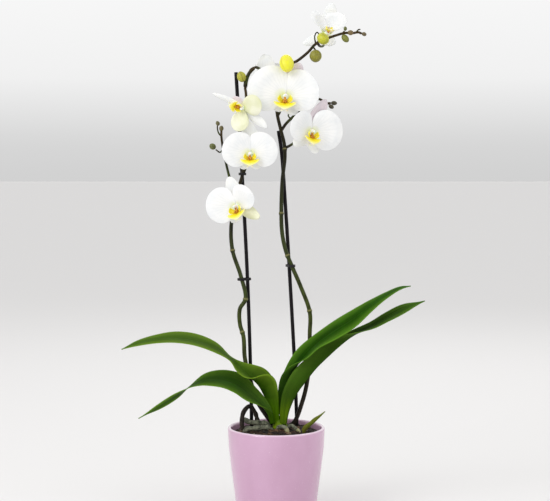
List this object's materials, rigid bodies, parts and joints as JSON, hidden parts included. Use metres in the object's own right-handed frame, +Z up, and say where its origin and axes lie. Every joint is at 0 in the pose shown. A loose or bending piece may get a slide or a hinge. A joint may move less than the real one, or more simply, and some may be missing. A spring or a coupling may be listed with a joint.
{
  "type": "potted moth orchid",
  "caption": "White moth orchid in a glazed pot: strap leaves, staked and clipped flower spikes, open blooms with yellow lips, and buds.",
  "frame": {"origin": "centre of the pot's flat base, on the surface that it stands on", "axes": "+Z up along the pot's axis, -Y towards the front, where the blooms face, +X to the viewer's right"},
  "size_m": [0.4214, 0.136, 0.7198],
  "materials": {
    "pot_glaze": "smooth pink-lilac glaze on ceramic, glossy, a little darker inside the rim",
    "inner_pot": "thin dark moulded plastic",
    "bark": "dark damp bark chips, rough",
    "crown": "smooth fresh green stem base",
    "root": "grey-green matt roots, cream at the tips",
    "old_root": "dry, nearly black",
    "leaf": "waxy deep green with a soft gloss, yellow-green at the edges",
    "spike": "smooth olive green, darker at the base, pale rings at the nodes",
    "stake": "dark coated rod, satin",
    "clip": "dark moulded plastic",
    "petal": "white, softly translucent, faint veins",
    "lip": "bright yellow with an orange-brown speckled throat",
    "bud": "smooth yellow-green, tinged brown at the seams"
  },
  "bodies": {
    "root": {"pot": "pot_glaze", "grow_pot": "inner_pot", "bark_mix": "bark", "crown": "crown", "root_left_back": "root", "root_left_front": "root", "root_front": "root", "root_right": "root", "root_old": "old_root", "leaf_left_upper": "leaf", "leaf_left_lower": "leaf", "leaf_right_upper": "leaf", "leaf_right_lower": "leaf", "young_leaf": "leaf", "spike_left": "spike", "spike_right": "spike", "stake_left": "stake", "stake_right": "stake", "clip_left": "clip", "clip_left_top": "clip", "clip_right": "clip", "bloom_left_1": "petal", "bloom_left_1_lip": "lip", "bloom_left_2": "petal", "bloom_left_2_lip": "lip", "bloom_left_3": "petal", "bloom_left_3_lip": "lip", "bloom_left_4": "petal", "bloom_left_4_lip": "lip", "bloom_right_1": "petal", "bloom_right_1_lip": "lip", "bloom_right_2": "petal", "bloom_right_2_lip": "lip", "bloom_right_3": "petal", "bloom_right_3_lip": "lip", "bud_left_1": "bud", "bud_left_2": "bud", "bud_left_3": "bud", "bud_left_4": "bud", "bud_right_1": "bud", "bud_right_2": "bud", "bud_right_3": "bud", "bud_right_4": "bud", "bud_right_5": "bud", "bud_right_6": "bud", "bud_right_7": "bud", "bud_right_8": "bud", "bud_right_9": "bud"}
  },
  "joints": []
}
